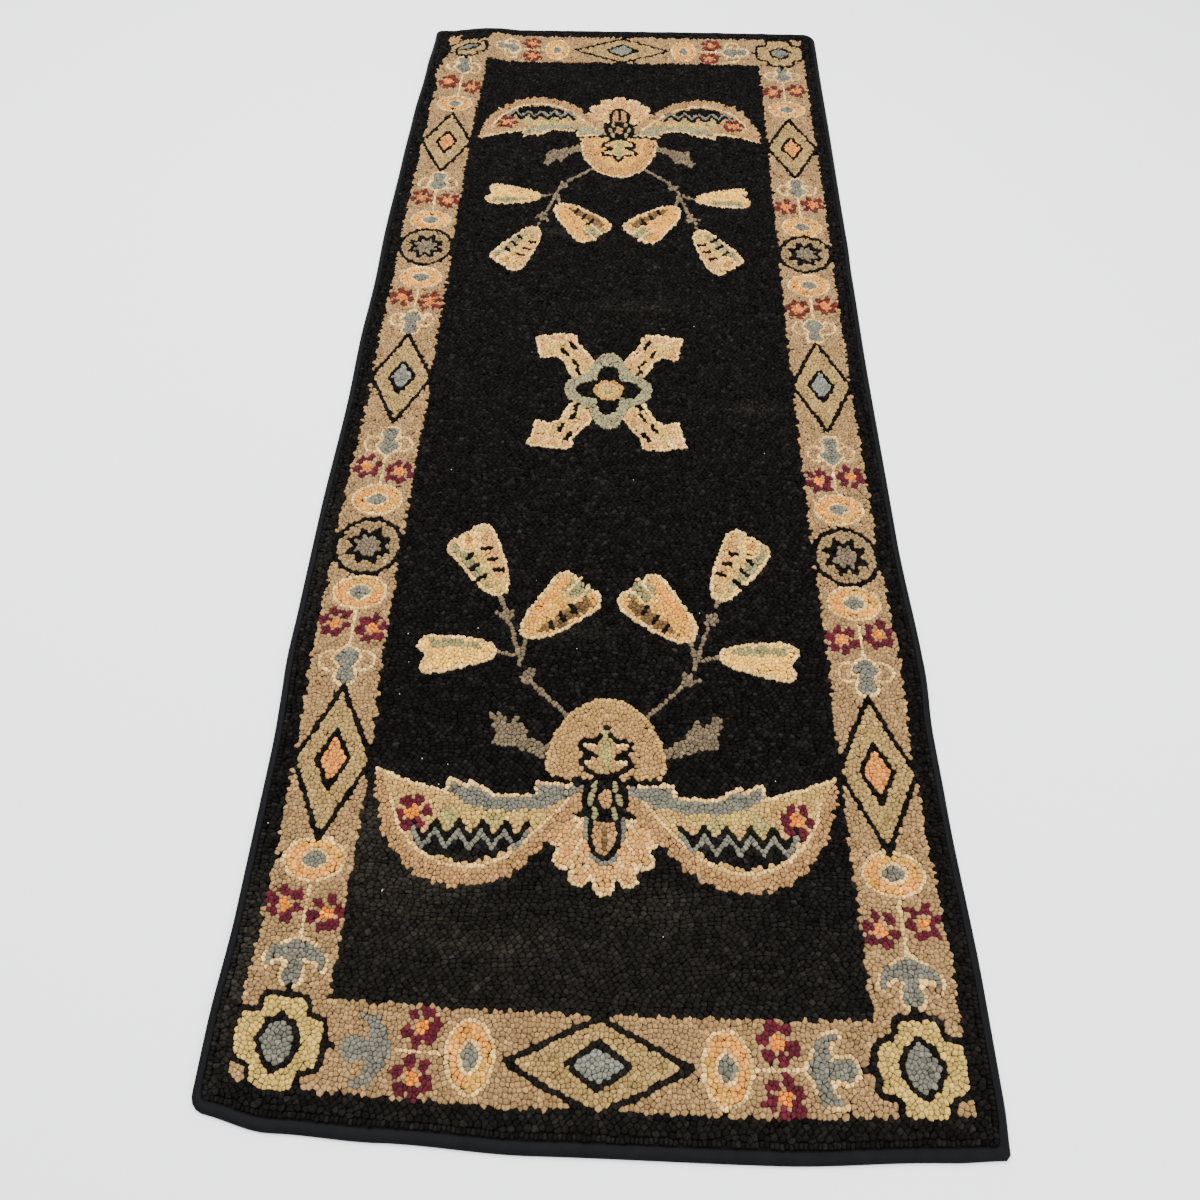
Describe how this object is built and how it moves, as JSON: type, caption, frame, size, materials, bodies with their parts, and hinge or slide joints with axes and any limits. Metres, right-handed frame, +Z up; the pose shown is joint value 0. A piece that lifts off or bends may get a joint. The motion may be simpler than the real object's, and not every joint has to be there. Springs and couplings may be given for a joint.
{
  "type": "hooked rug",
  "caption": "Long flat hooked rug of wool loops on hessian, with a patterned border band and a folded twill tape round its edge.",
  "frame": {"origin": "middle of the rug's width and length, on the floor that it lies on", "axes": "+Y along the rug's length, towards the end with the ruckled corner; +X to the right seen from the near end; +Z up"},
  "size_m": [0.76, 1.874, 0.0207],
  "materials": {
    "black_wool": "matt looped wool",
    "charcoal_twill": "matt cotton twill"
  },
  "bodies": {
    "root": {"hooked_ground": "black_wool", "edge_binding": "charcoal_twill"}
  },
  "joints": []
}
